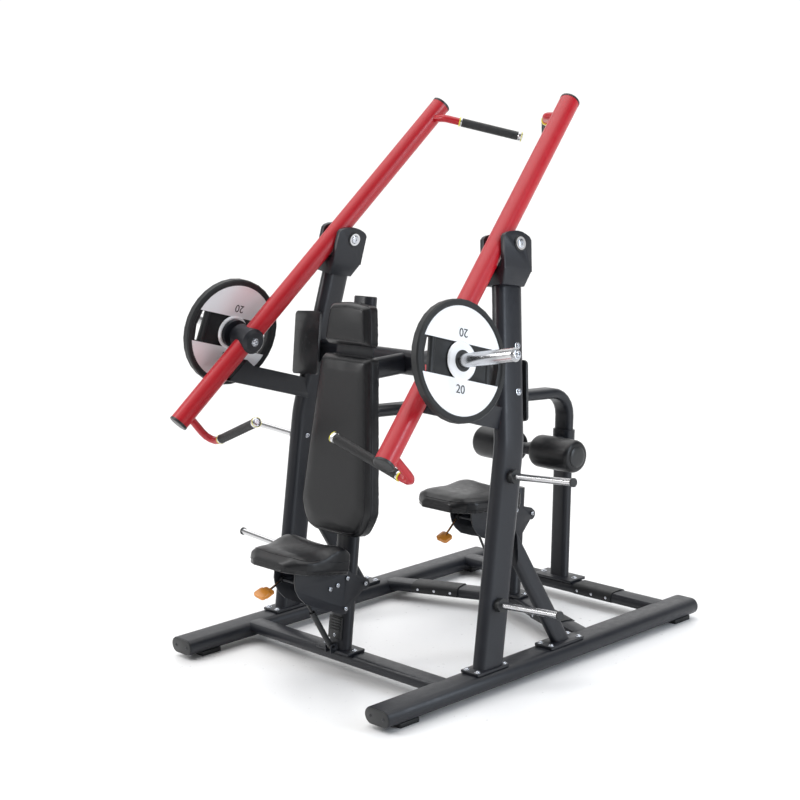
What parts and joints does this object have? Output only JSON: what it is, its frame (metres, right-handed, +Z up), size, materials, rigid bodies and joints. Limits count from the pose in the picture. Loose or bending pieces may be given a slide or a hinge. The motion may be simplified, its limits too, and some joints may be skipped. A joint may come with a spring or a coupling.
{
  "type": "plate-loaded chest press and lat pulldown machine",
  "caption": "Dual-station gym machine with charcoal tube frame, red lever arms, loaded weight plates, black pads and chrome storage pegs.",
  "frame": {"origin": "centre of the machine's footprint on the floor", "axes": "+X to the right seen from the chest press side, -Y towards the chest press user, +Z up"},
  "size_m": [1.8376, 1.627, 2.0736],
  "materials": {
    "charcoal_paint": "satin powder coat",
    "red_paint": "gloss powder coat",
    "ribbed_grip": "matt, ribbed",
    "upholstery": "grained, satin",
    "black_rubber": "matt",
    "chrome_steel": "polished",
    "black_plastic": "matt",
    "amber_plastic": "semi-gloss"
  },
  "bodies": {
    "frame_body": {"right_base_rail": "charcoal_paint", "left_base_rail": "charcoal_paint", "right_front_foot": "black_rubber", "left_front_foot": "black_rubber", "right_rear_foot": "black_rubber", "left_rear_foot": "black_rubber", "front_cross_tube": "charcoal_paint", "rear_cross_tube": "charcoal_paint", "chevron_cross_tube": "charcoal_paint", "right_chevron_tread": "black_rubber", "left_chevron_tread": "black_rubber", "right_rear_tread": "black_rubber", "left_rear_tread": "black_rubber", "right_post": "charcoal_paint", "left_post": "charcoal_paint", "right_brace": "charcoal_paint", "left_brace": "charcoal_paint", "right_clevis": "charcoal_paint", "left_clevis": "charcoal_paint", "right_pivot_pin": "chrome_steel", "left_pivot_pin": "chrome_steel", "right_stop_arm": "charcoal_paint", "left_stop_arm": "charcoal_paint", "right_bumper": "black_rubber", "left_bumper": "black_rubber", "cross_beam": "charcoal_paint", "right_lower_peg": "chrome_steel", "left_lower_peg": "chrome_steel", "right_upper_peg": "chrome_steel", "left_upper_peg": "chrome_steel", "front_placard": "black_plastic", "rear_placard": "black_plastic", "front_mast": "charcoal_paint", "rear_mast": "charcoal_paint", "rear_arch": "charcoal_paint", "lower_back_pad": "upholstery", "upper_back_pad": "upholstery"},
    "left_arm_body": {"left_arm": "red_paint", "left_loading_horn": "chrome_steel", "left_lower_grip": "ribbed_grip", "left_upper_grip": "ribbed_grip"},
    "left_weight_body": {"left_weight_plate": "black_rubber"},
    "left_roller_body": {"left_thigh_roller": "upholstery"},
    "right_arm_body": {"right_arm": "red_paint", "right_loading_horn": "chrome_steel", "right_lower_grip": "ribbed_grip", "right_upper_grip": "ribbed_grip"},
    "right_weight_body": {"right_weight_plate": "black_rubber"},
    "right_roller_body": {"right_thigh_roller": "upholstery"},
    "roller_carrier_body": {"roller_carrier": "charcoal_paint"},
    "front_seat_body": {"front_seat_pad": "upholstery", "front_carriage": "charcoal_paint"},
    "front_lever_body": {"front_height_lever": "amber_plastic"},
    "front_strut_cylinder_body": {"front_strut_cylinder": "black_plastic"},
    "front_strut_rod_body": {"front_strut_rod": "chrome_steel"},
    "rear_seat_body": {"rear_seat_pad": "upholstery", "rear_carriage": "charcoal_paint"},
    "rear_lever_body": {"rear_height_lever": "amber_plastic"},
    "rear_strut_cylinder_body": {"rear_strut_cylinder": "black_plastic"},
    "rear_strut_rod_body": {"rear_strut_rod": "chrome_steel"}
  },
  "joints": [
    {"name": "right_arm_pivot", "type": "hinge", "parent": "frame_body", "child": "right_arm_body", "pos_m": [0.455, 0.022, 1.557], "axis": [-0.9852, -0.0426, -0.166], "range_deg": [0, 55]},
    {"name": "right_plate_slide", "type": "slide", "parent": "right_arm_body", "child": "right_weight_body", "axis": [0.9852, 0.0426, 0.166], "range_m": [0, 0.2]},
    {"name": "left_arm_pivot", "type": "hinge", "parent": "frame_body", "child": "left_arm_body", "pos_m": [-0.455, 0.022, 1.557], "axis": [-0.9852, 0.0426, 0.166], "range_deg": [0, 55]},
    {"name": "left_plate_slide", "type": "slide", "parent": "left_arm_body", "child": "left_weight_body", "axis": [-0.9852, 0.0426, 0.166], "range_m": [0, 0.2]},
    {"name": "roller_height", "type": "slide", "parent": "frame_body", "child": "roller_carrier_body", "axis": [0, 0.0948, 0.9955], "range_m": [-0.05, 0.06]},
    {"name": "right_roller_spin", "type": "hinge", "parent": "roller_carrier_body", "child": "right_roller_body", "pos_m": [0, 0.545, 0.657], "axis": [1, 0, 0], "continuous": true},
    {"name": "left_roller_spin", "type": "hinge", "parent": "roller_carrier_body", "child": "left_roller_body", "pos_m": [0, 0.545, 0.657], "axis": [1, 0, 0], "continuous": true},
    {"name": "front_seat_height", "type": "slide", "parent": "frame_body", "child": "front_seat_body", "axis": [0, 0.1676, 0.9859], "range_m": [-0.03, 0.09]},
    {"name": "front_lever_lift", "type": "hinge", "parent": "front_seat_body", "child": "front_lever_body", "pos_m": [-0.044, -0.70587, 0.39274], "axis": [-1, 0, 0], "range_deg": [0, 12], "stiffness_Nm_per_rad": 0.6, "springref_deg": -20.05},
    {"name": "front_strut_swing", "type": "hinge", "parent": "frame_body", "child": "front_strut_cylinder_body", "pos_m": [0, -0.539, 0.103], "axis": [1, 0, 0], "range_deg": [-10.09, 3.7]},
    {"name": "front_strut_stroke", "type": "slide", "parent": "front_strut_cylinder_body", "child": "front_strut_rod_body", "axis": [0, -0.4559, 0.89], "range_m": [-0.0269, 0.0767]},
    {"name": "rear_seat_height", "type": "slide", "parent": "frame_body", "child": "rear_seat_body", "axis": [0, 0.1191, 0.9929], "range_m": [-0.03, 0.09]},
    {"name": "rear_lever_lift", "type": "hinge", "parent": "rear_seat_body", "child": "rear_lever_body", "pos_m": [-0.044, 0.18282, 0.44245], "axis": [-1, 0, 0], "range_deg": [0, 12], "stiffness_Nm_per_rad": 0.6, "springref_deg": -20.05},
    {"name": "rear_strut_swing", "type": "hinge", "parent": "frame_body", "child": "rear_strut_cylinder_body", "pos_m": [0, 0.357, 0.103], "axis": [1, 0, 0], "range_deg": [-7.4, 2.8]},
    {"name": "rear_strut_stroke", "type": "slide", "parent": "rear_strut_cylinder_body", "child": "rear_strut_rod_body", "axis": [0, -0.3955, 0.9185], "range_m": [-0.0285, 0.0814]}
  ],
  "couplings": [
    {"joint": "front_strut_swing", "follows": "front_seat_height", "rad_per_m": -1.8605},
    {"joint": "front_strut_stroke", "follows": "front_seat_height", "ratio": 0.83006},
    {"joint": "rear_strut_swing", "follows": "rear_seat_height", "rad_per_m": -1.338},
    {"joint": "rear_strut_stroke", "follows": "rear_seat_height", "ratio": 0.88254}
  ]
}
